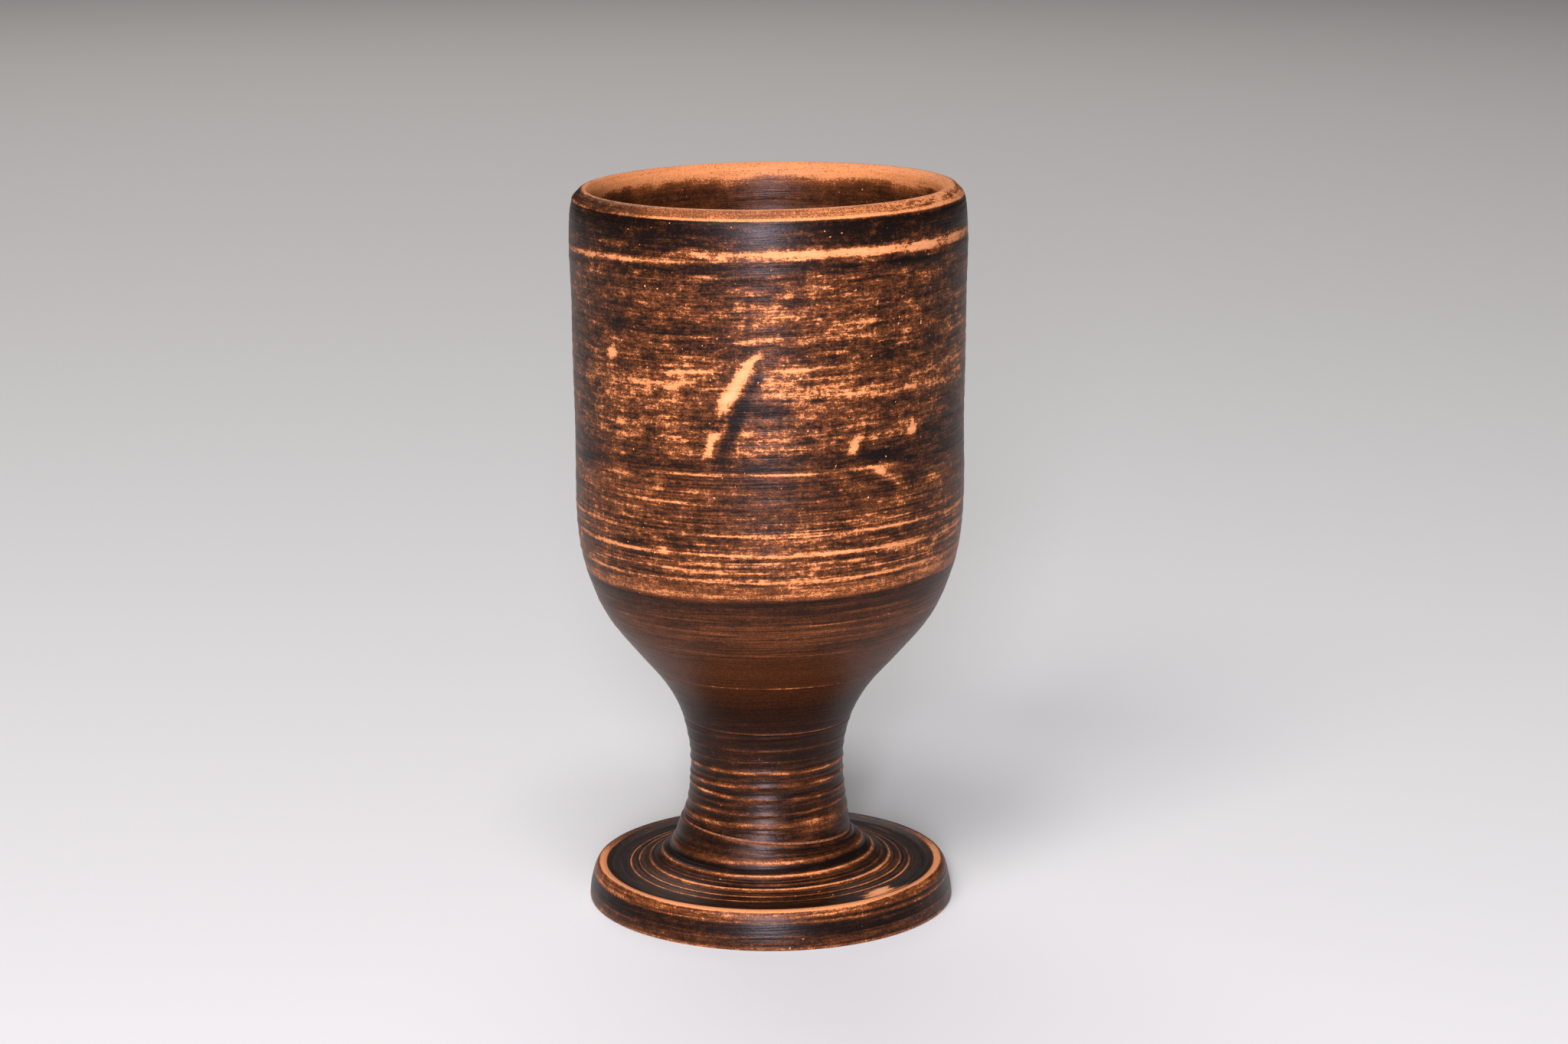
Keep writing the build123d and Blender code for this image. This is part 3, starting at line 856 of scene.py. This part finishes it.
# ---------------------------------------------------------------- materials
class Graph:
    """Short calls for building one material's node tree."""

    def __init__(self, name):
        self.material = bpy.data.materials.new(name)
        self.material.use_nodes = True
        self.tree = self.material.node_tree
        self.shader = self.tree.nodes["Principled BSDF"]

    def link(self, source, target):
        """Feeds a socket from another one, or sets it to a plain value."""
        if isinstance(source, (int, float, tuple)):
            target.default_value = source
        else:
            self.tree.links.new(source, target)

    def node(self, kind):
        return self.tree.nodes.new(kind)

    def math(self, operation, *values):
        node = self.node("ShaderNodeMath")
        node.operation = operation
        for socket, value in zip(node.inputs, values):
            self.link(value, socket)
        return node.outputs[0]

    def add(self, *values):
        total = values[0]
        for value in values[1:]:
            total = self.math("ADD", total, value)
        return total

    def times(self, a, b):
        return self.math("MULTIPLY", a, b)

    def combine(self, x, y, z):
        node = self.node("ShaderNodeCombineXYZ")
        for socket, value in zip(node.inputs, (x, y, z)):
            self.link(value, socket)
        return node.outputs[0]

    def noise(self, place, detail, roughness, fourth=None):
        """Noise about zero, at a place; fourth is an optional fourth coordinate."""
        node = self.node("ShaderNodeTexNoise")
        if fourth is not None:
            node.noise_dimensions = "4D"
            self.link(fourth, node.inputs["W"])
        self.link(place, node.inputs["Vector"])
        node.inputs["Scale"].default_value = 1.0
        node.inputs["Detail"].default_value = detail
        node.inputs["Roughness"].default_value = roughness
        return self.math("SUBTRACT", node.outputs["Fac"], 0.5)

    def smooth(self, value, low, high, top=1.0):
        """Climbs smoothly from 0 at low to top at high."""
        node = self.node("ShaderNodeMapRange")
        node.interpolation_type = "SMOOTHSTEP"
        inputs = {"Value": value, "From Min": low, "From Max": high, "To Min": 0.0, "To Max": top}
        for name, number in inputs.items():
            self.link(number, node.inputs[name])
        return node.outputs["Result"]

    def ramp(self, value, stops):
        node = self.node("ShaderNodeValToRGB")
        elements = node.color_ramp.elements
        while len(elements) < len(stops):
            elements.new(0.5)
        for element, (position, colour) in zip(elements, stops):
            element.position = position
            element.color = (*colour, 1)
        self.link(value, node.inputs["Fac"])
        return node.outputs["Color"]

    def attribute(self, name):
        node = self.node("ShaderNodeAttribute")
        node.attribute_name = name
        return node.outputs["Fac"]

    def object_mm(self):
        """Object coordinates in millimetres, as x, y, z."""
        place = self.node("ShaderNodeTexCoord").outputs["Object"]
        split = self.node("ShaderNodeSeparateXYZ")
        self.link(place, split.inputs[0])
        return [self.times(split.outputs[i], 1000.0) for i in range(3)]

    def bump(self, height, distance):
        node = self.node("ShaderNodeBump")
        node.inputs["Distance"].default_value = distance
        node.inputs["Strength"].default_value = 1.0
        self.link(height, node.inputs["Height"])
        return node.outputs["Normal"]


def coated_clay():
    """The dark coat, worn by the three painted marks and by noise along the turning lines; the
    first mark also holds painted shade and painted light in places.
    """
    g = Graph("coated_clay_rubbed")
    x, y, z = g.object_mm()
    level = g.add(z, g.times(x, LINE_TILT))
    out = g.math("SQRT", g.add(g.times(x, x), g.times(y, y)))

    def turned(around, along, detail, roughness):
        """Noise drawn out along the turning lines, both up the walls and across the foot."""
        place = g.combine(g.times(x, around), g.times(y, around), g.times(level, along))
        return g.noise(place, detail, roughness, g.times(out, along))

    def blend(shares):
        return g.add(*(g.times(noises[name], share) for name, share in shares.items()))

    noises = {name: turned(*scales) for name, scales in COAT_NOISES.items()}
    scaled = [g.times(length, scale) for length, scale in zip((x, y, level), DUST_SCALE)]
    dust = g.noise(g.combine(*scaled), 1.0, 0.5)
    specks = g.smooth(noises["specks"], *SPECK_NOISE, SPECK_SHARE)
    mottling = g.times(g.add(blend(MOTTLING_SHARES), specks), g.attribute("mottle"))
    lines = g.times(noises["hair"], g.times(g.attribute("lines"), HAIR_SHARE))
    # worn carries wear, and also the painted shade, glow and highlight held in the first mark.
    worn = g.add(g.attribute("wear_and_painted_light"), mottling, lines, g.times(dust, DUST_SHARE))
    g.link(g.ramp(worn, WORN_COLOURS), g.shader.inputs["Base Color"])

    bare = g.smooth(worn, *BARE_FROM)
    roughness = g.add(g.times(bare, BARE_ROUGHNESS), blend(ROUGHNESS_SHARES), COAT_ROUGHNESS)
    g.link(roughness, g.shader.inputs["Roughness"])
    g.link(COAT_SPECULAR, g.shader.inputs["Specular IOR Level"])
    g.link(COAT_SHEEN, g.shader.inputs["Specular Tint"])
    height = g.add(g.times(bare, BARE_DEPTH), blend(BUMP_SHARES))
    g.link(g.bump(height, COAT_BUMP), g.shader.inputs["Normal"])
    return g.material


def bare_clay():
    """The slip in the seams: matt, grainy clay without a coat."""
    g = Graph("bare_clay_slip")
    grain = g.noise(g.combine(*(g.times(length, SLIP_GRAIN) for length in g.object_mm())), 3.0, 0.5)
    g.link(g.ramp(g.add(grain, 0.5), SLIP_COLOURS), g.shader.inputs["Base Color"])
    g.link(g.add(g.times(grain, 0.2), SLIP_ROUGHNESS), g.shader.inputs["Roughness"])
    g.link(g.bump(grain, SLIP_BUMP), g.shader.inputs["Normal"])
    return g.material


def give_material(piece, material):
    piece.data.materials.clear()
    piece.data.materials.append(material)


# ---------------------------------------------------------------- the scene
make_camera()
set_colours()
make_world()
make_floor()
for light in LIGHTS:
    make_light(*light)

coat = coated_clay()
slip = bare_clay()
for build in (make_bowl, make_coil, make_stem, make_foot):
    give_material(build(), coat)
give_material(make_seam(), slip)
inner_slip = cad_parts["upper_slip"]
for material_slot in inner_slip.material_slots:
    material_slot.material = slip
